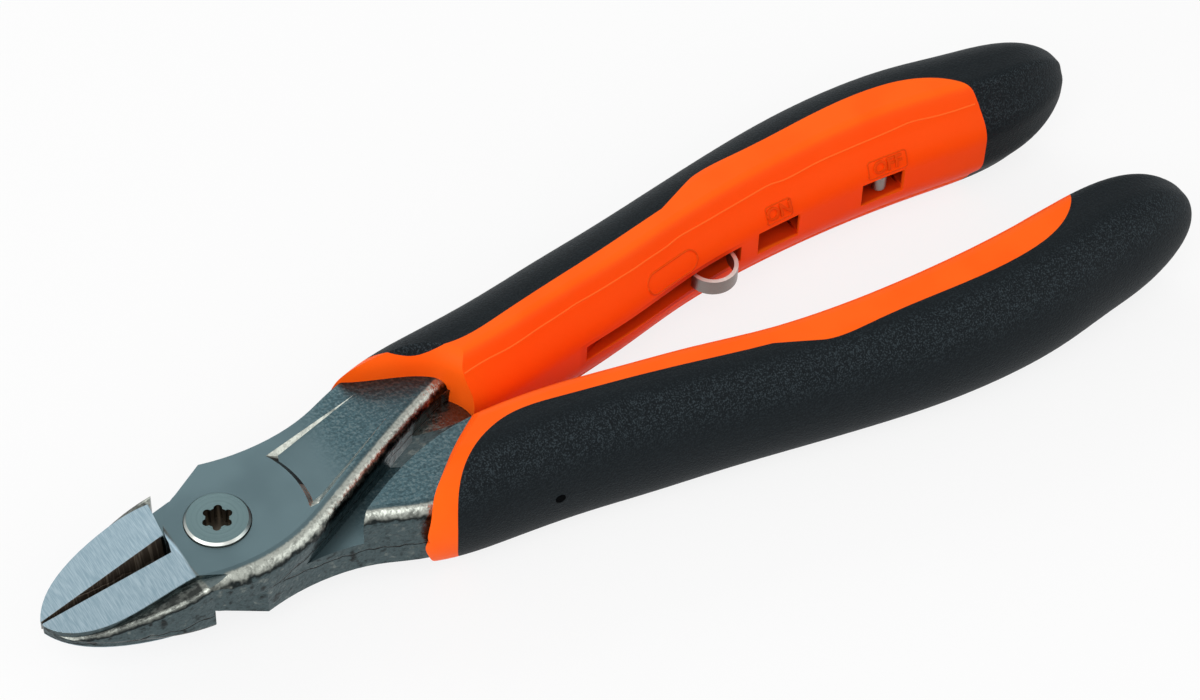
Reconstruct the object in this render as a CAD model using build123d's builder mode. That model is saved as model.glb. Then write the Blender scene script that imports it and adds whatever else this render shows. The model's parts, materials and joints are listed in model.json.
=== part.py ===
"""Side cutter: two forged halves on a screw joint, two-part moulded grips and a
return spring that slides in one grip between an on and an off window."""

import os
from math import radians, tan

from build123d import *

os.makedirs("parts", exist_ok=True)

# Everything is drawn about the pivot: +X towards the grips, +Y towards the grip that
# holds the spring, +Z up. The jaws are closed. One half is the other turned over.

# Reach of the tool on either side of the pivot
tip_reach = 23.8
grip_reach = 136.2

# Forged head
plate_half = 4.7
lap_gap = 0.05
lap_radius = 6.6
lap_clearance = 0.15
boss_angle = 113.4
boss_corner = (1.9, 8.8)
plate_edge_round = 2.0
neck_round = 1.8
neck_reach = 38.0
tang_half = 3.0
tang_reach = 92.0

# Jaws: ground facets fall from the lap plate to the tip, forged ledges lie below them
shown_facet_slope = 14.6
hidden_facet_slope = 10.5
facet_tilt = 2.2
ledge_drop = 0.9
ledge_round = 0.7
bevel_angle = 15.8
edge_height = -0.3
edge_gap = 0.04
tip_width = 0.4

# Sunk panel on the neck, deepest at its front
panel_depth = 0.7
panel_run = 16.0
panel_heading = 27.0
panel_draft = 48.0

# Screw joint
shank_radius = 3.0
shank_clearance = 0.03
disc_radius = 4.1
disc_recess = 1.2
disc_proud = 0.55
disc_clearance = 0.1
disc_chamfer = 0.3
thread_radius = 2.0
thread_step = 0.2
drive_core_radius = 1.46
drive_lobe_radius = 0.52
drive_lobes = 6
drive_depth = 2.4

# Grips: a hard core with a soft skin moulded over it
grip_height = 9.85
skin_thickness = 2.2
core_share = 0.827
band_share = 0.17
crease_up = 0.74
crease_in = 0.17
shoulder_in = 0.34
flank_share = 0.46

# Return spring and its catch, in the slot and windows of one grip
strip_width = 2.3
strip_thickness = 0.55
strip_clearance = 0.2
slot_start = 54.4
slot_end = 80.8
window_half = 2.0
window_length = 6.6
on_window_start = 83.6
off_window_start = 100.2
catch_x = 103.9
catch_front = 9.15
catch_radius = 1.1
channel_back = 11.7
channel_end = 108.2
wall_clearance = 0.1
bow_end = 84.0
strip_gap = 0.5
hoop_x = 76.05
hoop_y = 7.75
hoop_radius = 3.1
hoop_opening = 4.0

# Places that follow from the sizes above
pivot_x = (tip_reach - grip_reach) / 2
pivot_z = grip_height
disc_top = plate_half + disc_proud
disc_seat = plate_half - disc_recess
strip_line = catch_front + 2 * catch_radius - strip_thickness / 2
bend_radius = strip_line - hoop_y
jaw_root = (-lap_radius - lap_clearance, 0)
jaw_rear = (-lap_radius + 0.6, -6.1)
jaw_heel = (-lap_radius + 1.7, -8.3)
jaw_tip = (-tip_reach, -tip_width)
far_side = [boss_corner, (6, 8.1), (11, 8.05), (17, 9.25), (22.6, 11.4), (30, 12.1), (neck_reach, 12.2)]
upper_side = [jaw_rear, (-12.5, -5.9), (-17.5, -5.3), (-21.2, -3.6), jaw_tip]
lower_side = [(-lap_radius + 0.5, -6.5), (-9, -6.9), (-13, -6.6), (-17.5, -5.5), (-21.2, -3.6), jaw_tip]
near_side = [(neck_reach, 6.3), (30, 3.1), (22, -0.9), (14, -5.1), (8, -7.9), (2.5, -9), (-2.5, -8.9)]


def layer(z):
    """Level plane at a height above the middle of the lap joint"""
    return Plane(origin=(pivot_x, 0, pivot_z + z))


def station(x):
    """Upright plane across a grip, with x to the far side and y up"""
    return Plane(origin=(pivot_x + x, 0, pivot_z), x_dir=(0, 1, 0), z_dir=(1, 0, 0))


def facet_plane(slope, drop=0):
    """Plane of a facet on top of a jaw, level with the lap plate at its rear"""
    fall, lean = tan(radians(slope)), tan(radians(facet_tilt))
    rear = (pivot_x - lap_radius, 0, pivot_z + plate_half - drop)
    return Plane(origin=rear, z_dir=(-fall, -lean, 1))


def underside_plane(slope, drop=0):
    """Plane of a facet on the underside of a jaw"""
    fall, lean = tan(radians(slope)), tan(radians(facet_tilt))
    rear = (pivot_x - lap_radius, 0, pivot_z - plate_half + drop)
    return Plane(origin=rear, z_dir=(fall, lean, 1))


def bevel_plane(side, edge):
    """Plane of the bevel above or below the cutting edge, facing into the near jaw"""
    start = (pivot_x, -edge_gap / 2, pivot_z + edge)
    return Plane(origin=start, z_dir=(0, -1, -side * tan(radians(bevel_angle))))


def turned_over(shape):
    """The same piece turned over about the long axis through the pivot"""
    return shape.rotate(Axis((pivot_x, 0, pivot_z), (1, 0, 0)), 180)


def ground_block(outer_side, start, height):
    """Upright block under or over a ground facet, out to where the grinding ends"""
    with BuildPart() as block:
        with BuildSketch(layer(start)):
            with BuildLine():
                Polyline(jaw_tip, (-tip_reach, 0), jaw_root, outer_side[0])
                Spline(*outer_side)
            make_face()
        extrude(amount=height)
    return block.part


def ledge_block(ledge, kept):
    """Jaw outline over the full thickness, cut at one ledge and rounded along its rim"""
    with BuildPart() as block:
        with BuildSketch(layer(-plate_half)):
            with BuildLine():
                Polyline(jaw_tip, (-tip_reach, 0), jaw_root, jaw_rear, jaw_heel)
                Spline(jaw_heel, (-9.5, -8.05), (-14, -7), (-18.4, -5.6), (-22, -3.3), jaw_tip)
            make_face()
        extrude(amount=2 * plate_half)
        split(bisect_by=ledge, keep=kept)
        rims = block.edges().filter_by(GeomType.BSPLINE).sort_by(Axis.Z)
        fillet(rims[-1] if kept == Keep.BOTTOM else rims[0], ledge_round)
    return block.part


def forged_jaw(upper_slope, lower_slope, edge):
    """Near jaw over its full thickness, with ledges, facets and cutting bevels"""
    with BuildPart() as jaw:
        add(ledge_block(facet_plane(upper_slope, ledge_drop), Keep.BOTTOM))
        add(ledge_block(underside_plane(lower_slope, ledge_drop), Keep.TOP), mode=Mode.INTERSECT)
    with BuildPart() as ground:
        add(ground_block(upper_side, edge, 2 * plate_half))
        add(ground_block(lower_side, edge, -2 * plate_half))
        split(bisect_by=facet_plane(upper_slope), keep=Keep.BOTTOM)
        split(bisect_by=underside_plane(lower_slope), keep=Keep.TOP)
        add(jaw)
        split(bisect_by=bevel_plane(1, edge), keep=Keep.TOP)
        split(bisect_by=bevel_plane(-1, edge), keep=Keep.TOP)
    return ground.part


def ledge_cut(slope):
    """What is forged away above the ledge where the jaw runs into the lap plate"""
    with BuildPart() as cut:
        with BuildSketch(layer(0)):
            Polygon(jaw_rear, (-2.6, -7.7), (-1.2, -10), (-8, -10), (-8, -6.1), align=None)
        extrude(amount=2 * plate_half)
        split(bisect_by=facet_plane(slope, ledge_drop), keep=Keep.TOP)
    return cut.part


def panel_cut():
    """Sunk panel on the neck with sloping walls, its floor rising towards the grip"""
    rise = panel_depth / panel_run
    heading = Vector(1, 0, 0).rotate(Axis.Z, panel_heading)
    floor_start = (pivot_x + 10.5, 0, pivot_z + plate_half - panel_depth)
    with BuildPart() as cut:
        with BuildSketch(layer(plate_half)):
            with BuildLine():
                ThreePointArc((9.7, 5.9), (11.1, 1.0), (10.6, -3.8))
                Polyline((10.6, -3.8), (11.8, -3.8), (28.2, 5.3), (25, 9.3), (9.7, 5.9))
            make_face()
        extrude(amount=-2 * panel_depth, taper=panel_draft)
        floor = Plane(origin=floor_start, z_dir=(-rise * heading.X, -rise * heading.Y, 1))
        split(bisect_by=floor, keep=Keep.TOP)
    return cut.part


def lower_neck():
    """Full-depth part of the neck, behind the lap of the other half"""
    with BuildPart() as neck:
        with BuildSketch(layer(-plate_half)):
            with BuildLine():
                outer = Spline(*far_side)
                inner = Spline((neck_reach, 1.4), (30, 1.8), (22, 4.5), (16.3, 7.6))
                Line(outer @ 1, inner @ 0)
                Polyline(inner @ 1, (14, 6), (boss_corner[0], 6), outer @ 0)
            make_face()
        extrude(amount=plate_half + 1)
        shoulder = Plane(origin=(pivot_x + 15.2, 8.75, 0), z_dir=(1.15, 1.1, 0))
        split(bisect_by=shoulder, keep=Keep.TOP)
        outer_edge = neck.faces().sort_by(Axis.Z)[0].edges().sort_by(Axis.Y)[-1]
        fillet(outer_edge, neck_round)
    return neck.part


def forged_half(upper_slope, lower_slope, edge):
    """Half with the lap plate on top: near jaw, lap plate, far neck and tang"""
    with BuildPart() as half:
        with BuildSketch(layer(lap_gap / 2)):
            with BuildLine():
                lap_arc = CenterArc((0, 0), lap_radius, boss_angle, 180 - boss_angle)
                Line(lap_arc @ 0, boss_corner)
                far_edge = Spline(*far_side)
                near_edge = Spline(*near_side)
                Line(far_edge @ 1, near_edge @ 0)
                Polyline(near_edge @ 1, jaw_heel, (-6.4, -7), (-6.3, -6.1), (-lap_radius - 0.35, -1.4), lap_arc @ 1)
            make_face()
        extrude(amount=plate_half - lap_gap / 2)
        long_edges = half.faces().sort_by(Axis.Z)[-1].edges().filter_by(GeomType.BSPLINE)
        fillet(long_edges.sort_by(Axis.Y)[0], plate_edge_round)
        split(bisect_by=facet_plane(upper_slope), keep=Keep.BOTTOM)
        add(ledge_cut(upper_slope), mode=Mode.SUBTRACT)
        add(panel_cut(), mode=Mode.SUBTRACT)
        add(forged_jaw(upper_slope, lower_slope, edge))
        add(lower_neck())
        with BuildSketch(layer(-tang_half)):
            with BuildLine():
                outer = Spline((31, 10.4), (45, 12.6), (60, 15.2), (80, 18), (tang_reach, 18.8))
                inner = Spline((tang_reach, 14.8), (75, 13.7), (60, 11.3), (45, 7), (31, 4.5))
                Line(outer @ 1, inner @ 0)
                Line(inner @ 1, outer @ 0)
            make_face()
        extrude(amount=2 * tang_half)
        with Locations(layer(plate_half).location):
            CounterBoreHole(shank_radius + shank_clearance, disc_radius + disc_clearance, disc_recess)
    return half.part


with BuildPart() as half_a:
    add(forged_half(shown_facet_slope, hidden_facet_slope, edge_height))
half_a.part.label = "half_a"

with BuildPart() as half_b:
    add(turned_over(forged_half(hidden_facet_slope, shown_facet_slope, -edge_height)))
half_b.part.label = "half_b"

with BuildPart() as pivot_screw:
    with BuildSketch(layer(disc_seat)):
        Circle(disc_radius)
    extrude(amount=disc_top - disc_seat)
    chamfer(pivot_screw.edges().sort_by(Axis.Z)[-1], disc_chamfer)
    with BuildSketch(layer(disc_seat)):
        Circle(shank_radius)
    extrude(amount=-2 * disc_seat - lap_gap)
    with BuildSketch(layer(-disc_seat - lap_gap)):
        Circle(thread_radius)
    extrude(amount=-disc_recess - disc_proud + lap_gap + thread_step)
    with BuildSketch(layer(disc_top)):
        Circle(drive_core_radius)
        with PolarLocations(drive_core_radius, drive_lobes):
            Circle(drive_lobe_radius)
    extrude(amount=-drive_depth, mode=Mode.SUBTRACT)
pivot_screw.part.label = "pivot_screw"

with BuildPart() as pivot_nut:
    with BuildSketch(layer(-disc_top)):
        Circle(disc_radius)
        Circle(thread_radius, mode=Mode.SUBTRACT)
    extrude(amount=disc_top - disc_seat - lap_gap)
    chamfer(pivot_nut.faces().sort_by(Axis.Z)[0].edges().sort_by(SortBy.RADIUS)[-1], disc_chamfer)
pivot_nut.part.label = "pivot_nut"


def at_neck(*points):
    """Points given from the end of the neck, which move with it"""
    return [(neck_reach + x, y) for x, y in points]


def down_grip(share):
    """Distance from the pivot of a place given as a share of the grip behind the neck"""
    return neck_reach + share * (grip_reach - neck_reach)


# Stations of a grip: share of its run, inner band, outer flank, half height
grip_stations = [
    (-0.204, 0.6, 11.3, 7.0),
    (-0.122, 0.7, 13.6, 9.0),
    (-0.041, 0.8, 14.5, 9.6),
    (0.051, 1.5, 15.4, 9.75),
    (0.153, 3.3, 17.0, 9.7),
    (0.244, 4.8, 18.5, 9.4),
    (0.346, 7.0, 20.3, 9.2),
    (0.448, 8.25, 22.1, 9.3),
    (0.55, 8.7, 23.5, 9.6),
    (0.662, 8.6, 24.0, grip_height - 0.006),
    (0.754, 7.9, 23.4, 9.75),
    (0.835, 7.2, 22.0, 9.4),
]
grip_end_stations = [
    (0.896, 7.6, 20.9, 8.8),
    (0.942, 8.9, 19.6, 7.4),
    (0.9745, 10.6, 18.2, 5.3),
    (0.994, 12.3, 16.7, 3.1),
    (1.0, 13.7, 15.3, 1.1),
]


def grip_section(share, inner, outer, height):
    """Section of a grip: flat band inside, creased shoulders, round flank outside"""
    width = outer - inner
    flank = flank_share * width
    with BuildSketch(station(down_grip(share))) as section:
        with BuildLine():
            band = Line((inner, 0), (inner, band_share * height))
            crease = (inner + crease_in * width, crease_up * height)
            slope = Spline(band @ 1, crease, tangents=[(0, 1), (0.42, 1)])
            shoulder = Spline(slope @ 1, (inner + shoulder_in * width, height), tangents=[(0.8, 1), (1, 0)])
            top = Line(shoulder @ 1, (outer - flank, height))
            EllipticalCenterArc((outer - flank, 0), flank, height)
            mirror(about=Plane.XZ)
        make_face()
    return section.sketch


def set_back(outline, step):
    """Outline moved towards the grip, square to itself"""
    moved = []
    for before, here, after in zip(outline[:1] + outline[:-1], outline, outline[1:] + outline[-1:]):
        along = Vector(*after) - Vector(*before)
        moved.append(Vector(*here) + Vector(-along.Y, along.X).normalized() * step)
    return moved


def front_cut(outline, side):
    """What lies in front of the ring of a grip, above or below the lap joint"""
    with BuildPart() as cut:
        for level, step in ring_roll:
            edge = set_back(outline, step)
            with BuildSketch(layer(side * level)):
                with BuildLine():
                    Spline(*edge)
                    Polyline(edge[-1], (edge[-1].X, -5), (0, -5), (0, 20), (edge[0].X, 20), edge[0])
                make_face()
        loft()
    return cut.part


# Front of the ring: upright beside the steel, then rolled back to the top of the grip
ring_roll = [(0, 0), (3, 0), (6, 0), (8, 0.3), (9.3, 1.2), (10.2, 2.6)]
ring_above = at_neck((-17.2, 16), (-16.4, 12.9), (-14, 11.1), (-4, 6.2), (-2, 3.4), (-1.6, 1))
ring_below = at_neck((-17.2, 16), (-16.6, 13.8), (-14, 10.9), (-8.4, 5.9), (-4, 2.8), (-1.6, 1))

# Whole grip, core and skin together
with BuildPart() as grip:
    for place in grip_stations + grip_end_stations:
        add(grip_section(*place))
    loft()
    add(front_cut(ring_above, 1), mode=Mode.SUBTRACT)
    add(front_cut(ring_below, -1), mode=Mode.SUBTRACT)

# Body of the core under the skin
with BuildPart() as under_skin:
    for share, inner, outer, height in grip_stations[3:]:
        add(grip_section(share, inner + skin_thickness, outer - skin_thickness, height - skin_thickness))
    loft()

# Where the core shows: the ring, the top beside the inner band and the band itself
core_end = down_grip(core_share)
with BuildPart() as shown_core:
    with BuildSketch(layer(-2 * grip_height)):
        with BuildLine():
            ring_edge = Spline(
                *at_neck((-13, 18), (-11.8, 12.6), (-8, 9.2), (-1.5, 6.8)),
                (down_grip(0.061), 7.6), (down_grip(0.224), 10.7), (down_grip(0.338), 13.1),
            )
            swell = Line(ring_edge @ 1, (down_grip(0.394), 15.6))
            rear_edge = Spline(
                swell @ 1, (down_grip(0.479), 16.5), (down_grip(0.611), 17.2), (down_grip(0.703), 17),
                (down_grip(0.764), 15.6), (down_grip(0.811), 12.4), (core_end, 8),
                tangents=[swell % 1, (0, -1)],
            )
            Polyline(rear_edge @ 1, (core_end, -6), (10, -6), (10, 18), ring_edge @ 0)
        make_face()
    extrude(amount=4 * grip_height)

with BuildPart() as core_blank:
    add(grip)
    add(shown_core, mode=Mode.INTERSECT)
    add(under_skin)

with BuildPart() as skin_blank:
    add(grip)
    add(core_blank, mode=Mode.SUBTRACT)

# Slot, catch channel and the two windows of the grip that holds the spring
with BuildPart() as spring_room:
    room_half = strip_width / 2 + strip_clearance
    with BuildSketch(layer(-room_half)):
        Polygon(
            (slot_start, 0), (slot_start, 4.2), (57, 5.4), (62, 7.2), (64, 8.6), (66.6, 9.6), (66.6, channel_back),
            (channel_end, channel_back), (channel_end, catch_front - wall_clearance),
            (slot_end, catch_front - wall_clearance), (slot_end, 0),
            align=None,
        )
    extrude(amount=2 * room_half)
    with BuildSketch(layer(-window_half)):
        for window_start in (on_window_start, off_window_start):
            with Locations((window_start, 0)):
                Rectangle(window_length, channel_back, align=(Align.MIN, Align.MIN))
    extrude(amount=2 * window_half)

with BuildPart() as grip_core_a:
    add(core_blank)
    add(half_a, mode=Mode.SUBTRACT)
    add(spring_room, mode=Mode.SUBTRACT)
grip_core_a.part.label = "grip_core_a"

with BuildPart() as grip_core_b:
    add(turned_over(core_blank.part))
    add(half_b, mode=Mode.SUBTRACT)
grip_core_b.part.label = "grip_core_b"

with BuildPart() as grip_skin_a:
    add(skin_blank)
    add(half_a, mode=Mode.SUBTRACT)
grip_skin_a.part.label = "grip_skin_a"

with BuildPart() as grip_skin_b:
    add(turned_over(skin_blank.part))
    add(half_b, mode=Mode.SUBTRACT)
grip_skin_b.part.label = "grip_skin_b"

# Bowed end of the return spring, standing out of the slot
with BuildPart() as return_spring:
    with BuildSketch(layer(-strip_width / 2)):
        with BuildLine():
            CenterArc((hoop_x, hoop_y), hoop_radius, 180 + hoop_opening, 180 - hoop_opening)
            bend = CenterArc((hoop_x + hoop_radius + bend_radius, hoop_y), bend_radius, 180, -90)
            Line(bend @ 1, (bow_end, strip_line))
        trace(line_width=strip_thickness)
    extrude(amount=strip_width)
return_spring.part.label = "return_spring"

# Straight end of the strip, curled into a catch behind the window
with BuildPart() as spring_catch:
    with BuildSketch(layer(-strip_width / 2)):
        with BuildLine():
            Line((bow_end + strip_gap, strip_line), (catch_x, strip_line))
            CenterArc((catch_x, catch_front + catch_radius), catch_radius - strip_thickness / 2, 90, -270)
        trace(line_width=strip_thickness)
    extrude(amount=strip_width)
spring_catch.part.label = "spring_catch"

nodes = [
    half_a, half_b, pivot_screw, pivot_nut, grip_core_a,
    grip_core_b, grip_skin_a, grip_skin_b, return_spring, spring_catch,
]
for node in nodes:
    export_step(node.part, f"parts/{node.part.label}.step")
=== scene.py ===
"""Side cutter on a white studio floor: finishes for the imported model, moulded signs and lights."""

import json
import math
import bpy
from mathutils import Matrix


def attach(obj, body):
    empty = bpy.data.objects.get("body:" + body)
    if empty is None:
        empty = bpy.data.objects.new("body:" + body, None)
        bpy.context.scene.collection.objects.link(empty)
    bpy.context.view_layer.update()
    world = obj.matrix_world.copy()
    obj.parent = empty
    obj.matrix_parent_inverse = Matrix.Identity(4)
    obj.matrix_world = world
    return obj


bl_info = {
    "name": "Side Cutter",
    "version": (1, 0, 0),
    "blender": (4, 5, 0),
    "location": "View3D > Sidebar > Side Cutter",
    "description": "Dresses the packed side cutter: forged steel, moulded grips, signs and studio",
    "category": "Object",
}

import bmesh
import bpy
from bpy.props import FloatProperty, FloatVectorProperty, PointerProperty
from mathutils import Matrix, Vector
from mathutils.bvhtree import BVHTree

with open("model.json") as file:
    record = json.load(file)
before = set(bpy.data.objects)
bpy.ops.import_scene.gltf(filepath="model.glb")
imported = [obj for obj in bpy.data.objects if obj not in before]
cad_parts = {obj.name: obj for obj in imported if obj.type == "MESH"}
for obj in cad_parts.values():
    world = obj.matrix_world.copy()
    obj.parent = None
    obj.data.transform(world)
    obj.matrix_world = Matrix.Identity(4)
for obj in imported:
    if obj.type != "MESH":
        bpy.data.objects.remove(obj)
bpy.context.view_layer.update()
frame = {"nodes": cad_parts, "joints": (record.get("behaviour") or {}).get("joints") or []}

MM = 0.001
HINGE = next(joint for joint in frame["joints"] if joint["name"] == "jaw_hinge")
PIVOT = Vector(HINGE["pos_m"])

# Lengths below are in millimetres, and places start from the pivot

# Ground facets of the jaws, as in the part: rear edge, height and slopes
FACET_REAR = -6.6
LAP_HEIGHT = 4.7
SHOWN_SLOPE = math.tan(math.radians(14.6))
HIDDEN_SLOPE = math.tan(math.radians(10.5))
FACET_TILT = math.tan(math.radians(2.2))

# Edges of the finishes on the forging, each by where it begins and ends to fade
FACET_OFF = (0.06, 0.16)
JAW_REAR = (-6.2, -5.9)
BEVEL_REAR = (-7.2, -6.9)
PLATE_TOP = (3.8, 3.9)
LAP_FACE = (0.3, 0.4)
PANEL_FRONT = (9.4, 9.6)
PANEL_FLOOR = (3.6, 3.8)
PANEL_SIDE = (0.0, 0.1)
NECK_FRONT = (14.0, 20.0)

# Parting line on the walls: below the middle on the jaw and above it behind the pivot
PARTING_DROP = 1.45
PARTING_TURN = (-4.0, 8.0)
PARTING_WIDTH = (0.05, 0.14)
PARTING_WANDER = 1.8

# Pivot screw: radius of the chamfer and of the socket, and the socket's heights
SCREW_RIM = (3.78, 3.84)
SOCKET_REACH = (2.0, 2.1)
SOCKET_TOP = (5.1, 5.22)
SOCKET_SIDE = (0.0, 0.5)

# Inner band of the spring grip, in which the slot and the windows open: start, rise and top
BAND_START = (53.0, 3.2)
BAND_RISE = 0.178
BAND_TOP = 8.8
SLOT_SIDE = (2.02, 2.08)

# Where the painted shade of the slopes, a deeper orange, begins on a core
SLOPE_FRONT = (20.0, 44.0)

# Crease of the grips, as in the part: from the pivot, across and up
CREASE = (
    (34.0, 3.1, 7.1), (43.0, 3.9, 7.2), (53.0, 5.6, 7.2), (62.0, 7.1, 7.0), (72.0, 9.3, 6.8),
    (82.0, 10.6, 6.9), (92.0, 11.2, 7.1), (103.0, 11.2, 7.3), (112.0, 10.5, 7.2), (119.2, 9.8, 7.0),
)

# How far from that line the sharp edge is looked for, and the step and least number of its points
CREASE_REACH = 0.6
CREASE_STEP = 2.5
CREASE_LEAST = 20

# Direction out of the inner slope of the spring grip: its x goes with the heading of the slope
SLOPE_OUT = (0.87, -0.875, 0.485)

# Signs over the windows: piece, words, place, heading and length of the border
SIGNS = (
    ("sign_on", "ON", (87.0, 9.2, 3.78), 0.03, 4.2),
    ("sign_off", "OFF", (104.1, 9.1, 3.7), -0.05, 6.1),
)
CAPITAL_SHARE = 0.70
LETTER_SOFT = 0.03
BORDER_MARGIN = 1.0
BORDER_CORNER = 0.5
BORDER_LINE = 0.2
CORNER_STEPS = 10

# Bare oval beside the slot
BADGE_PLACE = (69.25, 7.12, 3.85)
BADGE_HEADING = 0.19
BADGE_LINE = 0.26

# How signs are laid on: depth of the foot, grid that cuts them, and the ray's start and reach
SIGN_SUNK = 0.3
SIGN_GRID = 0.4
SIGN_ABOVE = 3.0
SIGN_SEARCH = 8.0

# Gate mark of the lower grip: place, then radius and height of each loop
GATE_PLACE = (39.4, -15.0, 0.2)
GATE_LOOPS = ((0.02, 0.03), (0.3, 0.03), (0.5, 0.05), (0.6, 0.08), (0.68, 0.05), (0.7, -0.2))
GATE_TURNS = 28

# Second tones of the steel, beside the colours of the sidebar; the chamfer and spring edge tones are painted
# highlights
PLATE_HAZE = (0.084, 0.126, 0.138)
NECK_STEEL = (0.042, 0.082, 0.096)
GROUND_LINES = (0.33, 0.42, 0.47)
BEVEL_STREAKS = (0.34, 0.30, 0.25)
SCREW_RINGS = (0.096, 0.143, 0.149)
CHAMFER_HIGHLIGHT = (0.60, 0.62, 0.58)
SOCKET_STEEL = (0.12, 0.105, 0.085)
SPRING_LINES = (0.21, 0.185, 0.17)
SPRING_EDGE_HIGHLIGHT = (0.62, 0.60, 0.56)

# Second tones of the grips; all but the mottle are painted light and shade
CORE_MOTTLE = (1.0, 0.112, 0.004)
CORE_SLOPE_SHADE = (0.98, 0.070, 0.002)
CORE_FRONT_SHADE = (1.0, 0.120, 0.005)
CORE_RECESS_SHADE = (0.66, 0.036, 0.002)
CORE_DEEP_SHADE = (0.10, 0.004, 0.0005)
# Painted shade on the signs and the oval, and how much of it
SIGN_SHADE = (0.20, 0.010, 0.001)
SIGN_SHADE_SHARE = 0.3
# Painted highlight on the bead, and how much of it
BEAD_SHEEN = (1.0, 0.19, 0.03)
BEAD_SHEEN_SHARE = 0.6
# Painted highlight and painted shade of the skin's creases
SKIN_LIT = (0.040, 0.054, 0.062)
SKIN_CREASE_SHADE = (0.002, 0.003, 0.004)
# Painted shadow of the gate mark, with faint specks in it
GATE_SHADOW_TONE = (0.0005, 0.0006, 0.0007)
GATE_SPECK = (0.002, 0.0025, 0.003)

# Studio: a square floor just under the part, and lights by place, size in metres and watts
WHITE = (1.0, 1.0, 1.0)
FLOOR_WHITE = (0.86, 0.86, 0.86)
FLOOR_REACH = 3000.0
FLOOR_DROP = 0.02
FLOOR_SEEN = 0.82
ROOM_LIGHT = 0.5
LIGHTS = (
    ("key_light", (-240, -300, 600), 0.45, 1.7),
    ("side_light", (400, -380, 240), 0.4, 0.7),
    ("back_light", (160, 540, 360), 0.4, 1.2),
    ("front_light", (-560, -120, 110), 0.4, 2.0),
)
LIGHT_AIM = (40, 0, 0)

# Camera of the photograph
CAMERA_PLACE = (-110.917, -251.048, 357.492)
CAMERA_RIGHT = Vector((0.85314, -0.52091, 0.02827))
CAMERA_BACK = Vector((-0.35599, -0.54171, 0.76146))
CAMERA_LENS = 110.5
SENSOR_WIDTH = 36.0


def place(x, y, z):
    """Point of the model from millimetres about the pivot"""
    return PIVOT + Vector((x, y, z)) * MM


class CutterColours(bpy.types.PropertyGroup):
    """Base colours of the finishes"""

    forged: FloatVectorProperty(
        name="Forged steel", description="Scaled skin of the forging", subtype="COLOR",
        size=3, min=0, max=1, default=(0.068, 0.096, 0.102),
    )
    # Painted highlight: ridges and rounded edges made light by how they tilt, glints on the walls, and the
    # lit side of the neck's pocks
    bright: FloatVectorProperty(
        name="Bright ridges", description="Rubbed ridges and rounded edges of the forging", subtype="COLOR",
        size=3, min=0, max=1, default=(0.37, 0.39, 0.35),
    )
    # Painted shade on the slopes, in the pocks, in patches on the jaws and on the panel's walls, together
    # with the dark parting line
    painted_shade_and_parting: FloatVectorProperty(
        name="Dark hollows", description="Scale in the hollows and along the parting line", subtype="COLOR",
        size=3, min=0, max=1, default=(0.012, 0.014, 0.014),
    )
    plate: FloatVectorProperty(
        name="Plate steel", description="Satin face round the screw", subtype="COLOR",
        size=3, min=0, max=1, default=(0.070, 0.106, 0.117),
    )
    ground: FloatVectorProperty(
        name="Ground steel", description="Ground facets of the jaws", subtype="COLOR",
        size=3, min=0, max=1, default=(0.21, 0.30, 0.35),
    )
    bevel: FloatVectorProperty(
        name="Bevel steel", description="Bevels of the cutting edges", subtype="COLOR",
        size=3, min=0, max=1, default=(0.130, 0.108, 0.088),
    )
    screw: FloatVectorProperty(
        name="Screw steel", description="Pivot screw and its nut", subtype="COLOR",
        size=3, min=0, max=1, default=(0.082, 0.125, 0.130),
    )
    spring: FloatVectorProperty(
        name="Spring steel", description="Return spring and its catch", subtype="COLOR",
        size=3, min=0, max=1, default=(0.30, 0.27, 0.25),
    )
    core: FloatVectorProperty(
        name="Hard plastic", description="Core of the grips", subtype="COLOR",
        size=3, min=0, max=1, default=(1.0, 0.125, 0.006),
    )
    skin: FloatVectorProperty(
        name="Soft plastic", description="Skin of the grips", subtype="COLOR",
        size=3, min=0, max=1, default=(0.006, 0.009, 0.011),
    )


class CutterSizes(bpy.types.PropertyGroup):
    """Sizes of what is moulded on the grips"""

    letter_height: FloatProperty(
        name="Letter height", description="Height of the capitals over the windows",
        subtype="DISTANCE", unit="LENGTH", default=1.75 * MM,
    )
    letter_relief: FloatProperty(
        name="Letter relief", description="How far signs stand off the grip",
        subtype="DISTANCE", unit="LENGTH", default=0.26 * MM,
    )
    badge_length: FloatProperty(
        name="Badge length", description="Length of the bare oval on the grip",
        subtype="DISTANCE", unit="LENGTH", default=8.9 * MM,
    )
    badge_width: FloatProperty(
        name="Badge width", description="Width of the bare oval on the grip",
        subtype="DISTANCE", unit="LENGTH", default=3.3 * MM,
    )
    bead_radius: FloatProperty(
        name="Bead radius", description="Radius of the fine bead along the crease of a core",
        subtype="DISTANCE", unit="LENGTH", default=0.12 * MM,
    )
    grain: FloatProperty(
        name="Grain", description="Size of one pebble of the grip's leather grain",
        subtype="DISTANCE", unit="LENGTH", default=0.30 * MM,
    )


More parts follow.
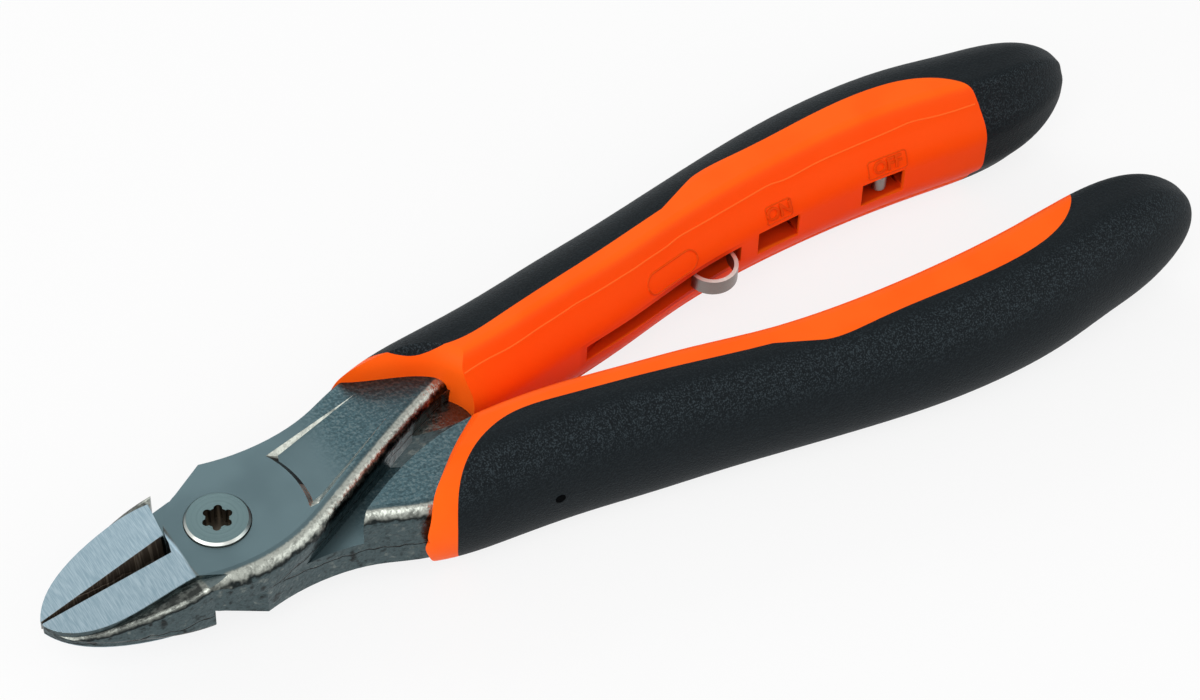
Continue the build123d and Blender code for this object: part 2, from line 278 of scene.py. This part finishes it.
class Reading:
    """Number that varies over a surface, used in plain arithmetic"""

    def __init__(self, shading, socket):
        self.shading = shading
        self.socket = socket

    def maths(self, operation, *operands):
        """Outcome of a Math node on numbers and readings"""
        node = self.shading.add("ShaderNodeMath", {"operation": operation}, dict(enumerate(operands)))
        return Reading(self.shading, node.outputs[0])

    def __add__(self, other):
        return self.maths("ADD", self, other)

    def __sub__(self, other):
        return self.maths("SUBTRACT", self, other)

    def __rsub__(self, other):
        return self.maths("SUBTRACT", other, self)

    def __mul__(self, other):
        return self.maths("MULTIPLY", self, other)

    def __neg__(self):
        return self.maths("MULTIPLY", self, -1.0)

    def __abs__(self):
        return self.maths("ABSOLUTE", self)

    __radd__ = __add__
    __rmul__ = __mul__

    def root(self):
        """Square root"""
        return self.maths("SQRT", self)

    def most(self, other):
        """The greater of the two"""
        return self.maths("MAXIMUM", self, other)

    def least(self, other):
        """The smaller of the two"""
        return self.maths("MINIMUM", self, other)

    def rise(self, low, high):
        """0 below low, 1 above high and smooth between them"""
        node = self.shading.add(
            "ShaderNodeMapRange", {"interpolation_type": "SMOOTHSTEP", "clamp": True},
            {"Value": self, "From Min": low, "From Max": high, "To Min": 0.0, "To Max": 1.0},
        )
        return Reading(self.shading, node.outputs[0])

    def fall(self, low, high):
        """1 below low, 0 above high and smooth between them"""
        return 1 - self.rise(low, high)


class Shading:
    """Node tree of a material or of the world, empty to begin with"""

    def __init__(self, owner):
        owner.use_nodes = True
        self.tree = owner.node_tree
        self.tree.nodes.clear()

    def add(self, kind, settings=None, inputs=None):
        """Node with its settings made first, then the values or links of its sockets"""
        node = self.tree.nodes.new(kind)
        for name, value in (settings or {}).items():
            setattr(node, name, value)
        for socket, value in (inputs or {}).items():
            self.feed(node.inputs[socket], value)
        return node

    def feed(self, socket, value):
        """Gives a socket a link, a colour or a plain value"""
        if isinstance(value, Reading):
            value = value.socket
        if isinstance(value, bpy.types.NodeSocket):
            self.tree.links.new(value, socket)
        elif socket.type == "RGBA" and len(value) == 3:
            socket.default_value = (*value, 1.0)
        else:
            socket.default_value = value

    def seen_rays(self):
        """1 for rays that show the background: from the camera, off metal or through glass"""
        path = self.add("ShaderNodeLightPath")
        camera, glossy, clear = (
            Reading(self, path.outputs[name])
            for name in ("Is Camera Ray", "Is Glossy Ray", "Is Transmission Ray")
        )
        return camera.most(glossy).most(clear)


class Finish(Shading):
    """Node material with one Principled shader"""

    def __init__(self, name):
        self.material = bpy.data.materials.new(name)
        super().__init__(self.material)
        self.shader = self.add("ShaderNodeBsdfPrincipled")
        self.output = self.add("ShaderNodeOutputMaterial", {}, {"Surface": self.shader.outputs[0]})

    def set(self, **sockets):
        """Values or links of the shader's own sockets, named with underscores for spaces"""
        for name, value in sockets.items():
            self.feed(self.shader.inputs[name.replace("_", " ")], value)

    def split(self, vector):
        """The three parts of a vector"""
        node = self.add("ShaderNodeSeparateXYZ", {}, {0: vector})
        return [Reading(self, output) for output in node.outputs]

    def vector_maths(self, operation, inputs):
        """Outcome of a Vector Math node"""
        return self.add("ShaderNodeVectorMath", {"operation": operation}, inputs).outputs[0]

    def spot(self):
        """Vector from the pivot in millimetres, fixed to the piece"""
        coordinates = self.add("ShaderNodeTexCoord").outputs["Object"]
        moved = self.vector_maths("SUBTRACT", {0: coordinates, 1: tuple(PIVOT)})
        return self.vector_maths("SCALE", {0: moved, "Scale": 1 / MM})

    def facing(self):
        """The three parts of the surface normal, fixed to the piece"""
        return self.split(self.add("ShaderNodeTexCoord").outputs["Normal"])

    def stretched(self, vector, factors):
        """Vector with each part times its own factor"""
        return self.vector_maths("MULTIPLY", {0: vector, 1: factors})

    def noise(self, vector, scale, detail, roughness=0.5):
        """Smooth noise from 0 to 1, about 0.5"""
        node = self.add(
            "ShaderNodeTexNoise", {"noise_dimensions": "3D"},
            {"Vector": vector, "Scale": scale, "Detail": detail, "Roughness": roughness},
        )
        return Reading(self, node.outputs[0])

    def grain(self, vector, scale, reach, detail):
        """Painted light and shade of a noise's relief, as a low light from one side would show it: 0.5
        level, 1 lit, 0 turned away
        """
        shifted = self.vector_maths("ADD", {0: vector, 1: (-reach, -reach, reach)})
        slope = self.noise(shifted, scale, detail) - self.noise(vector, scale, detail)
        return slope * 3.0 + 0.5

    def pebbles(self, vector, scale):
        """Distance to the nearest of many scattered points, rounded where cells meet"""
        node = self.add("ShaderNodeTexVoronoi", {"feature": "SMOOTH_F1"}, {"Vector": vector, "Scale": scale})
        return Reading(self, node.outputs["Distance"])

    def blend(self, share, low, high):
        """Colour that goes from low to high with share"""
        node = self.add("ShaderNodeMix", {"data_type": "RGBA"}, {"Factor": share, 6: low, 7: high})
        return node.outputs[2]

    def relief(self, height, depth):
        """Bump of a height from 0 to 1 that is depth metres deep"""
        node = self.add("ShaderNodeBump", {}, {"Height": height, "Distance": depth, "Strength": 1.0})
        self.set(Normal=node.outputs[0])


def forged_finish(name, turned, top_slope, under_slope):
    """Forged half: scaled skin with painted reflections, satin plate, ground facets and dark bevels"""
    colours = bpy.context.scene.cutter_colours
    finish = Finish(name)
    spot = finish.spot()
    x, y, z = finish.split(spot)
    across, side, upward = finish.facing()
    if turned:
        y, z, side, upward = -y, -z, -side, -upward

    # Where each finish lies, as masks from 0 to 1
    ahead = x.fall(*JAW_REAR)
    above = abs(z - LAP_HEIGHT - (x - FACET_REAR) * top_slope - y * FACET_TILT)
    below = abs(z + LAP_HEIGHT + (x - FACET_REAR) * under_slope + y * FACET_TILT)
    ground = ahead * above.fall(*FACET_OFF).most(below.fall(*FACET_OFF))
    bevel = x.fall(*BEVEL_REAR) * side.rise(0.7, 0.85)
    level = abs(upward)
    flat = level.rise(0.93, 0.99)
    plate = (1 - ahead) * flat * abs(z).rise(*PLATE_TOP).most(abs(z).fall(*LAP_FACE))
    neck = x.rise(*NECK_FRONT)
    wall = level.fall(0.25, 0.5)
    panel = (1 - ahead) * x.rise(*PANEL_FRONT) * z.rise(*PANEL_FLOOR) * y.rise(*PANEL_SIDE)
    panel = panel * level.fall(0.86, 0.96)

    # Noises, each by its scale, its detail and its roughness
    folds = finish.noise(spot, 0.75, 2.0, 0.5)
    peel = finish.noise(spot, 1.7, 1.0, 0.5)
    crumple = finish.noise(finish.stretched(spot, (0.5, 1.0, 1.0)), 1.1, 3.0, 0.6)
    # Painted light and shade of the pocks' relief, as from a low light on one side
    pock_light_and_shade = finish.grain(spot, 2.4, 0.12, 1.0)
    satin = finish.noise(spot, 14.0, 2.0, 0.6)
    haze = finish.noise(spot, 0.1, 2.0, 0.5)
    lines = finish.noise(finish.stretched(spot, (9.0, 0.5, 0.8)), 1.0, 2.0, 0.6)
    scores = finish.noise(finish.stretched(spot, (2.6, 0.2, 0.2)), 1.0, 2.0, 0.6)
    wander = (finish.noise(spot, 0.3, 3.0, 0.6) - 0.5) * PARTING_WANDER
    turn = x.rise(*PARTING_TURN) * (2 * PARTING_DROP)
    parting = wall * abs(z + PARTING_DROP - turn + wander).fall(*PARTING_WIDTH)

    # Relief
    cast = (1 - ground) * (1 - bevel) * (1 - plate * (1 - neck * 0.7))
    height = cast * (peel * 0.7 + folds * 0.3) + ground * lines * 0.06
    height = height + bevel * scores * 0.3 + plate * satin * 0.03 - parting * 0.3
    finish.relief(height, 0.1 * MM)

    # Scaled skin with painted reflections set by how each face tilts: painted shade on the slopes, painted
    # highlights on ridges and on what lies level
    lean = level + (folds - 0.5) + (peel - 0.5) * 0.3
    colour = finish.blend(lean.rise(0.05, 0.28) * 0.9, colours.forged, colours.painted_shade_and_parting)
    highlight_share = lean.rise(0.3, 0.8) * (1 - ahead * 0.55) * (1 - flat * 0.7)
    colour = finish.blend(highlight_share, colour, colours.bright)
    # Painted glints where the noise pulls the tilt below level
    colour = finish.blend(lean.fall(-0.32, -0.08) * 0.35, colour, colours.bright)
    # Painted shade on the turned-away side of the pocks
    colour = finish.blend(pock_light_and_shade.fall(0.1, 0.45) * 0.25, colour, colours.painted_shade_and_parting)
    # Painted dark reflections in patches on the level faces of the jaws
    painted_dark_patches = ahead * level.rise(0.5, 0.9) * crumple.rise(0.42, 0.58)
    colour = finish.blend(painted_dark_patches * 0.7, colour, colours.painted_shade_and_parting)
    # Painted shade on the panel's walls that face +x
    colour = finish.blend(panel * across.rise(0.2, 0.5), colour, colours.painted_shade_and_parting)
    colour = finish.blend(parting, colour, colours.painted_shade_and_parting)

    # Plate and neck, ground facets and bevels over it
    peeled = finish.blend(haze.rise(0.35, 0.65), colours.plate, PLATE_HAZE)
    peeled = finish.blend(neck * 0.8, peeled, NECK_STEEL)
    # Painted highlight and painted shade of the pocks' relief on the neck
    peeled = finish.blend(neck * pock_light_and_shade.rise(0.55, 1.0) * 0.1, peeled, colours.bright)
    peeled = finish.blend(neck * pock_light_and_shade.fall(0.05, 0.5) * 0.3, peeled, colours.painted_shade_and_parting)
    colour = finish.blend(plate, colour, peeled)
    scratched = finish.blend(lines.rise(0.3, 0.75), colours.ground, GROUND_LINES)
    colour = finish.blend(ground, colour, scratched)
    streaked = finish.blend(scores.rise(0.45, 0.7), colours.bevel, BEVEL_STREAKS)
    finish.set(
        Base_Color=finish.blend(bevel, colour, streaked),
        Metallic=1.0,
        Roughness=0.24 + plate * 0.16 + ground * (0.1 + lines * 0.12) + bevel * 0.2 + cast * peel * 0.1,
    )
    return finish.material


def turned_finish():
    """Screw and nut: fine rings round the axis, a painted highlight on the side of the chamfer turned to -x
    and -y, and a dark socket
    """
    finish = Finish("turned_steel")
    x, y, z = finish.split(finish.spot())
    radius = (x * x + y * y).root()
    section = finish.add("ShaderNodeCombineXYZ", {}, {0: radius, 2: z}).outputs[0]
    rings = finish.noise(section, 9.0, 2.0, 0.5)
    finish.relief(rings, 0.012 * MM)
    across, side, _ = finish.facing()
    face = finish.blend(rings.rise(0.3, 0.7), bpy.context.scene.cutter_colours.screw, SCREW_RINGS)
    # Painted highlight on the chamfer, on its side turned to -x and -y
    rim = radius.rise(*SCREW_RIM) * (across * -0.7 - side * 0.7).rise(-0.1, 0.7)
    face = finish.blend(rim, face, CHAMFER_HIGHLIGHT)
    socket = radius.fall(*SOCKET_REACH) * z.fall(*SOCKET_TOP) * z.rise(*SOCKET_SIDE)
    finish.set(
        Base_Color=finish.blend(socket, face, SOCKET_STEEL),
        Metallic=1.0,
        Roughness=0.26 + rings * 0.12,
    )
    return finish.material


def spring_finish():
    """Rolled strip with fine lines along it and a painted highlight on the faces turned up or down, its cut
    edges
    """
    finish = Finish("spring_steel")
    lines = finish.noise(finish.stretched(finish.spot(), (1.0, 1.0, 12.0)), 1.5, 3.0, 0.6)
    finish.relief(lines, 0.02 * MM)
    face = finish.blend(lines, SPRING_LINES, bpy.context.scene.cutter_colours.spring)
    # Painted highlight on the faces that look up or down
    upward = finish.facing()[2]
    finish.set(
        Base_Color=finish.blend(abs(upward).rise(0.7, 0.9), face, SPRING_EDGE_HIGHLIGHT),
        Metallic=1.0,
        Roughness=0.28 + lines * 0.15,
    )
    return finish.material


def core_finish(name, painted_light_and_shade=None, share=0.0):
    """Hard moulded plastic with painted shade: deeper on the slopes, dark in the slot and windows, and mixed
    by share towards a colour of painted light and shade
    """
    finish = Finish(name)
    spot = finish.spot()
    x, y, z = finish.split(spot)
    across, side, upward = finish.facing()
    mottle = finish.noise(spot, 0.12, 2.0, 0.5)
    pores = finish.noise(spot, 6.0, 2.0, 0.6)
    finish.relief(pores, 0.008 * MM)
    band = (x - BAND_START[0]) * BAND_RISE + BAND_START[1]
    depth = y - band.least(BAND_TOP)
    # Painted shade in the slot and windows, darkest deep down on faces that don't look up
    recess_shade = x.rise(BAND_START[0], BAND_START[0] + 1) * abs(z).fall(*SLOT_SIDE) * depth.rise(-0.1, 0.4)
    shaded = upward.fall(0.5, 0.9) * depth.rise(0.3, 2.2)
    # Painted shade: the slopes, turned sideways, a deeper orange
    slope = abs(side).rise(0.35, 0.85) * x.rise(*SLOPE_FRONT)
    colour = finish.blend(mottle.rise(0.35, 0.65), CORE_MOTTLE, bpy.context.scene.cutter_colours.core)
    colour = finish.blend(slope * 0.7, colour, CORE_SLOPE_SHADE)
    # Painted shade: faces turned to the front an even, slightly deeper orange
    colour = finish.blend((-across).rise(0.3, 0.9), colour, CORE_FRONT_SHADE)
    colour = finish.blend(recess_shade, colour, CORE_RECESS_SHADE)
    colour = finish.blend(recess_shade * shaded, colour, CORE_DEEP_SHADE)
    if painted_light_and_shade:
        colour = finish.blend(share, colour, painted_light_and_shade)
    finish.set(
        Base_Color=colour,
        Roughness=0.46 + pores * 0.08,
        Specular_IOR_Level=0.08,
    )
    return finish.material


def skin_finish():
    """Soft moulded skin with a fine leather grain, and painted light and shade of its creases, lit most on
    the shoulders
    """
    finish = Finish("soft_plastic")
    spot = finish.spot()
    grain = bpy.context.scene.cutter_sizes.grain / MM
    pebbles = finish.pebbles(spot, 1 / grain)
    folds = finish.noise(spot, 1.2 / grain, 3.0, 0.65)
    finish.relief(pebbles * 0.5 + folds * 0.5, 0.12 * MM)
    # Painted light and shade of the creases' relief, as from a low light on one side
    creases = finish.grain(spot, 1.5 / grain, 0.25 * grain, 3.0)
    level = abs(finish.facing()[2])
    # Painted highlight strongest on the shoulders, between the top and the sides
    shoulder = level.rise(0.2, 0.6) * level.fall(0.85, 1.0)
    lit = creases.rise(0.5, 1.0) * (0.15 + shoulder * 0.5)
    dark = creases.fall(0.1, 0.5) * (0.25 + shoulder * 0.25)
    colour = finish.blend(lit, bpy.context.scene.cutter_colours.skin, SKIN_LIT)
    finish.set(
        Base_Color=finish.blend(dark, colour, SKIN_CREASE_SHADE),
        Roughness=0.5 + folds * 0.12,
        Specular_IOR_Level=0.08,
    )
    return finish.material


def gate_finish():
    """Painted shadow of the gate's dimple: near black, with faint specks"""
    finish = Finish("gate_shadow")
    speck = finish.noise(finish.spot(), 3.0, 2.0, 0.5)
    finish.set(
        Base_Color=finish.blend(speck, GATE_SHADOW_TONE, GATE_SPECK),
        Roughness=0.9,
        Specular_IOR_Level=0.02,
    )
    return finish.material


def dress(material, *nodes):
    """Gives CAD nodes a material"""
    for name in nodes:
        mesh = frame["nodes"][name].data
        mesh.materials.clear()
        mesh.materials.append(material)


def add_piece(name, mesh, material, body):
    """Puts a mesh in the scene as a piece that rides on a body"""
    piece = bpy.data.objects.new(name, mesh)
    bpy.context.scene.collection.objects.link(piece)
    mesh.materials.clear()
    mesh.materials.append(material)
    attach(piece, body)


def slope_frame(where, heading):
    """Matrix of a sign on the inner slope of the spring grip, its x running towards the end"""
    out = Vector((heading * SLOPE_OUT[0], *SLOPE_OUT[1:])).normalized()
    along = Vector((1, heading, 0))
    along = (along - out * along.dot(out)).normalized()
    matrix = Matrix((along, out.cross(along), out)).transposed().to_4x4()
    matrix.translation = place(*where)
    return matrix


def divide(mesh, step):
    """Cuts a flat mesh along a square grid, so that it can follow a curved surface"""
    graph = bmesh.new()
    graph.from_mesh(mesh)
    for axis in (0, 1):
        square = Vector((axis == 0, axis == 1, 0))
        reach = max(abs(vertex.co[axis]) for vertex in graph.verts)
        lines = int(reach / step)
        for i in range(-lines, lines + 1):
            geometry = graph.verts[:] + graph.edges[:] + graph.faces[:]
            bmesh.ops.bisect_plane(graph, geom=geometry, plane_co=square * i * step, plane_no=square)
    graph.to_mesh(mesh)
    graph.free()


def lay_on(mesh, stand, node):
    """Moves a sign drawn flat to its stand and down onto the surface of a node"""
    carrier = frame["nodes"][node]
    surface = BVHTree.FromPolygons(
        [carrier.matrix_world @ vertex.co for vertex in carrier.data.vertices],
        [tuple(polygon.vertices) for polygon in carrier.data.polygons],
    )
    out = stand.to_3x3() @ Vector((0, 0, 1))
    divide(mesh, SIGN_GRID * MM)
    for vertex in mesh.vertices:
        above = stand @ Vector((vertex.co.x, vertex.co.y, SIGN_ABOVE * MM))
        hit = surface.ray_cast(above, -out, SIGN_SEARCH * MM)[0]
        if hit is None:
            raise RuntimeError(f"{mesh.name} reaches past {node}")
        vertex.co = hit + out * vertex.co.z


def skinned_mesh(name, loops, closed):
    """Smooth mesh between loops of points: closed into a ring, or capped on its first loop"""
    graph = bmesh.new()
    loops = [[graph.verts.new(point) for point in loop] for loop in loops]
    if closed:
        loops.append(loops[0])
    else:
        graph.faces.new(loops[0])
    for first, second in zip(loops, loops[1:]):
        for i in range(len(first)):
            graph.faces.new((first[i - 1], first[i], second[i], second[i - 1]))
    bmesh.ops.recalc_face_normals(graph, faces=graph.faces)
    mesh = bpy.data.meshes.new(name)
    graph.to_mesh(mesh)
    graph.free()
    mesh.shade_smooth()
    return mesh


def corner_loop(length, width, corner, rise):
    """Points round a rectangle with round corners, at one height"""
    loop = []
    for quarter, (right, back) in enumerate(((1, 1), (-1, 1), (-1, -1), (1, -1))):
        x = right * (length / 2 - corner)
        y = back * (width / 2 - corner)
        for step in range(CORNER_STEPS + 1):
            angle = (quarter + step / CORNER_STEPS) * math.pi / 2
            loop.append((x + corner * math.cos(angle), y + corner * math.sin(angle), rise))
    return loop


def ring_mesh(name, length, width, corner, line, relief):
    """Raised outline with round corners, its foot sunk into the grip"""
    foot = -SIGN_SUNK * MM
    profile = (
        (0, foot), (0, relief * 0.6), (line * 0.3, relief),
        (line * 0.7, relief), (line, relief * 0.6), (line, foot),
    )
    loops = [
        corner_loop(length - 2 * inset, width - 2 * inset, max(corner - inset, 0.02 * MM), rise)
        for inset, rise in profile
    ]
    return skinned_mesh(name, loops, True)


def gate_mesh(name):
    """Round spot with a fine rim, its foot sunk into the grip"""
    turns = [math.tau * step / GATE_TURNS for step in range(GATE_TURNS)]
    loops = [
        [(radius * MM * math.cos(turn), radius * MM * math.sin(turn), rise * MM) for turn in turns]
        for radius, rise in GATE_LOOPS
    ]
    return skinned_mesh(name, loops, False)


def curve_mesh(curve):
    """Mesh of a curve or of lettering"""
    holder = bpy.data.objects.new(curve.name, curve)
    bpy.context.scene.collection.objects.link(holder)
    bpy.context.view_layer.update()
    mesh = bpy.data.meshes.new_from_object(holder)
    bpy.data.objects.remove(holder)
    return mesh


def sign_mesh(name, words, height, relief):
    """Moulded capitals, centred, their foot sunk into the grip"""
    sunk = SIGN_SUNK * MM
    curve = bpy.data.curves.new(name, "FONT")
    curve.body = words
    curve.size = height / CAPITAL_SHARE
    curve.align_x = "CENTER"
    curve.align_y = "CENTER"
    curve.extrude = (relief + sunk) / 2
    curve.bevel_depth = LETTER_SOFT * MM
    curve.bevel_resolution = 1
    curve.offset = LETTER_SOFT * MM
    mesh = curve_mesh(curve)
    mesh.transform(Matrix.Translation((0, 0, (relief - sunk) / 2)))
    return mesh


def crease_line(node, side):
    """Points along the sharp crease of a core, on its top or under it"""
    guide = [place(x, y, z * side) for x, y, z in CREASE]
    steps = {}
    for vertex in frame["nodes"][node].data.vertices:
        for start, end in zip(guide, guide[1:]):
            share = (vertex.co - start).dot(end - start) / (end - start).length_squared
            if not 0 <= share <= 1:
                continue
            if (vertex.co - start.lerp(end, share)).length < CREASE_REACH * MM:
                step = round(vertex.co.x / (CREASE_STEP * MM))
                steps.setdefault(step, []).append(vertex.co.copy())
    if len(steps) < CREASE_LEAST:
        raise RuntimeError(f"the crease of {node} has only {len(steps)} points")
    return [sum(points, Vector()) / len(points) for _, points in sorted(steps.items())]


def bead_mesh(name, points, radius):
    """Fine round bead along a line"""
    curve = bpy.data.curves.new(name, "CURVE")
    curve.dimensions = "3D"
    curve.bevel_depth = radius
    curve.bevel_resolution = 3
    curve.resolution_u = 6
    run = curve.splines.new("NURBS")
    run.points.add(len(points) - 1)
    for knot, point in zip(run.points, points):
        knot.co = (*point, 1)
    run.order_u = 4
    run.use_endpoint_u = True
    mesh = curve_mesh(curve)
    mesh.shade_smooth()
    return mesh


class CUTTER_OT_steel(bpy.types.Operator):
    """Finish the two forged halves"""

    bl_idname = "cutter.steel"
    bl_label = "Forged halves"

    def execute(self, context):
        dress(forged_finish("forged_top", False, SHOWN_SLOPE, HIDDEN_SLOPE), "half_a")
        dress(forged_finish("forged_bottom", True, HIDDEN_SLOPE, SHOWN_SLOPE), "half_b")
        return {"FINISHED"}


class CUTTER_OT_joint(bpy.types.Operator):
    """Finish the pivot screw and its nut"""

    bl_idname = "cutter.joint"
    bl_label = "Screw joint"

    def execute(self, context):
        dress(turned_finish(), "pivot_screw", "pivot_nut")
        return {"FINISHED"}


class CUTTER_OT_grips(bpy.types.Operator):
    """Finish the hard cores and soft skins of the grips"""

    bl_idname = "cutter.grips"
    bl_label = "Grips"

    def execute(self, context):
        dress(core_finish("hard_plastic"), "grip_core_a", "grip_core_b")
        dress(skin_finish(), "grip_skin_a", "grip_skin_b")
        return {"FINISHED"}


class CUTTER_OT_beads(bpy.types.Operator):
    """Lay the fine moulded bead along the two creases of the spring grip's core, with a painted highlight"""

    bl_idname = "cutter.beads"
    bl_label = "Beads on the grip"

    def execute(self, context):
        plastic = core_finish("bead_painted_sheen", BEAD_SHEEN, BEAD_SHEEN_SHARE)
        radius = context.scene.cutter_sizes.bead_radius
        for name, side in (("bead_top", 1), ("bead_under", -1)):
            bead = bead_mesh(name, crease_line("grip_core_a", side), radius)
            add_piece(name, bead, plastic, "top_half")
        return {"FINISHED"}


class CUTTER_OT_spring(bpy.types.Operator):
    """Finish the return spring and its catch"""

    bl_idname = "cutter.spring"
    bl_label = "Return spring"

    def execute(self, context):
        dress(spring_finish(), "return_spring", "spring_catch")
        return {"FINISHED"}


class CUTTER_OT_signs(bpy.types.Operator):
    """Mould the words over the two windows and their borders, in orange with painted shade"""

    bl_idname = "cutter.signs"
    bl_label = "Signs over the windows"

    def execute(self, context):
        sizes = context.scene.cutter_sizes
        plastic = core_finish("sign_painted_shade", SIGN_SHADE, SIGN_SHADE_SHARE)
        for name, words, where, heading, length in SIGNS:
            stand = slope_frame(where, heading)
            letters = sign_mesh(name, words, sizes.letter_height, sizes.letter_relief)
            border = ring_mesh(
                name + "_border", length * MM, sizes.letter_height + BORDER_MARGIN * MM,
                BORDER_CORNER * MM, BORDER_LINE * MM, sizes.letter_relief * 0.5,
            )
            for piece, mesh in ((name, letters), (name + "_border", border)):
                lay_on(mesh, stand, "grip_core_a")
                add_piece(piece, mesh, plastic, "top_half")
        return {"FINISHED"}


class CUTTER_OT_gate(bpy.types.Operator):
    """Mould the round gate mark of the lower grip, painted as a shadow"""

    bl_idname = "cutter.gate"
    bl_label = "Gate mark"

    def execute(self, context):
        stand = Matrix(((1, 0, 0), (0, 0, -1), (0, 1, 0))).to_4x4()
        stand.translation = place(*GATE_PLACE)
        mark = gate_mesh("gate_mark")
        lay_on(mark, stand, "grip_skin_b")
        add_piece("gate_mark", mark, gate_finish(), "bottom_half")
        return {"FINISHED"}


class CUTTER_OT_badge(bpy.types.Operator):
    """Mould the bare oval beside the slot, in orange with painted shade"""

    bl_idname = "cutter.badge"
    bl_label = "Bare oval"

    def execute(self, context):
        sizes = context.scene.cutter_sizes
        plastic = core_finish("oval_painted_shade", SIGN_SHADE, SIGN_SHADE_SHARE)
        badge = ring_mesh(
            "bare_oval", sizes.badge_length, sizes.badge_width, sizes.badge_width / 2,
            BADGE_LINE * MM, sizes.letter_relief * 0.6,
        )
        lay_on(badge, slope_frame(BADGE_PLACE, BADGE_HEADING), "grip_core_a")
        add_piece("bare_oval", badge, plastic, "top_half")
        return {"FINISHED"}


class CUTTER_OT_stage(bpy.types.Operator):
    """Make the white floor, the lights and the camera of the photograph"""

    bl_idname = "cutter.stage"
    bl_label = "Studio"

    def execute(self, context):
        self.make_floor(context)
        self.make_world(context)
        for name, where, size, power in LIGHTS:
            self.make_light(context, name, where, size, power)
        self.make_camera(context)
        context.scene.view_settings.view_transform = "Standard"
        return {"FINISHED"}

    def make_floor(self, context):
        """Square that takes the shadow and shows white"""
        mesh = bpy.data.meshes.new("floor")
        reach = FLOOR_REACH * MM
        corners = ((-reach, -reach), (reach, -reach), (reach, reach), (-reach, reach))
        points = [(x, y, -FLOOR_DROP * MM) for x, y in corners]
        mesh.from_pydata(points, [], [(0, 1, 2, 3)])
        floor = bpy.data.objects.new("floor", mesh)
        context.scene.collection.objects.link(floor)
        finish = Finish("white_floor")
        finish.set(Base_Color=FLOOR_WHITE, Roughness=0.9, Specular_IOR_Level=0.0)
        glow = finish.add("ShaderNodeEmission", {}, {"Color": WHITE, "Strength": 1.0})
        mix = finish.add(
            "ShaderNodeMixShader", {},
            {0: finish.seen_rays() * FLOOR_SEEN, 1: finish.shader.outputs[0], 2: glow.outputs[0]},
        )
        finish.feed(finish.output.inputs["Surface"], mix.outputs[0])
        mesh.materials.append(finish.material)

    def make_world(self, context):
        """Room that shows as white and gives less light than that"""
        world = bpy.data.worlds.new("studio")
        context.scene.world = world
        room = Shading(world)
        strength = room.seen_rays() * (1 - ROOM_LIGHT) + ROOM_LIGHT
        glow = room.add("ShaderNodeBackground", {}, {"Color": WHITE, "Strength": strength})
        room.add("ShaderNodeOutputWorld", {}, {"Surface": glow.outputs[0]})

    def make_light(self, context, name, where, size, power):
        """Square lamp aimed at the middle of the part"""
        lamp = bpy.data.lights.new(name, "AREA")
        lamp.size = size
        lamp.energy = power
        light = bpy.data.objects.new(name, lamp)
        light.location = place(*where)
        aim = place(*LIGHT_AIM) - light.location
        light.rotation_euler = aim.to_track_quat("-Z", "Y").to_euler()
        context.scene.collection.objects.link(light)

    def make_camera(self, context):
        """Camera at the photograph's place and lens"""
        lens = bpy.data.cameras.new("camera")
        lens.lens = CAMERA_LENS
        lens.sensor_width = SENSOR_WIDTH
        lens.sensor_fit = "HORIZONTAL"
        lens.clip_start = 0.01
        camera = bpy.data.objects.new("camera", lens)
        up = CAMERA_BACK.cross(CAMERA_RIGHT)
        matrix = Matrix((CAMERA_RIGHT, up, CAMERA_BACK)).transposed().to_4x4()
        matrix.translation = place(*CAMERA_PLACE)
        camera.matrix_world = matrix
        context.scene.collection.objects.link(camera)
        context.scene.camera = camera


class CUTTER_PT_sidebar(bpy.types.Panel):
    """Colours, sizes and the steps that dress the side cutter"""

    bl_idname = "CUTTER_PT_sidebar"
    bl_label = "Side Cutter"
    bl_space_type = "VIEW_3D"
    bl_region_type = "UI"
    bl_category = "Side Cutter"

    def draw(self, context):
        for group in (context.scene.cutter_colours, context.scene.cutter_sizes):
            box = self.layout.box()
            for name in group.bl_rna.properties.keys():
                if name not in ("rna_type", "name"):
                    box.prop(group, name)
        for operator in OPERATORS:
            self.layout.operator(operator.bl_idname)


OPERATORS = (
    CUTTER_OT_steel, CUTTER_OT_joint, CUTTER_OT_grips, CUTTER_OT_beads, CUTTER_OT_spring,
    CUTTER_OT_signs, CUTTER_OT_gate, CUTTER_OT_badge, CUTTER_OT_stage,
)
CLASSES = (CutterColours, CutterSizes, *OPERATORS, CUTTER_PT_sidebar)


def register():
    for item in CLASSES:
        bpy.utils.register_class(item)
    bpy.types.Scene.cutter_colours = PointerProperty(type=CutterColours)
    bpy.types.Scene.cutter_sizes = PointerProperty(type=CutterSizes)


def unregister():
    del bpy.types.Scene.cutter_sizes
    del bpy.types.Scene.cutter_colours
    for item in reversed(CLASSES):
        bpy.utils.unregister_class(item)


def main():
    register()
    bpy.ops.cutter.steel()
    bpy.ops.cutter.joint()
    bpy.ops.cutter.grips()
    bpy.ops.cutter.beads()
    bpy.ops.cutter.spring()
    bpy.ops.cutter.signs()
    bpy.ops.cutter.gate()
    bpy.ops.cutter.badge()
    bpy.ops.cutter.stage()


if __name__ == "__main__":
    main()
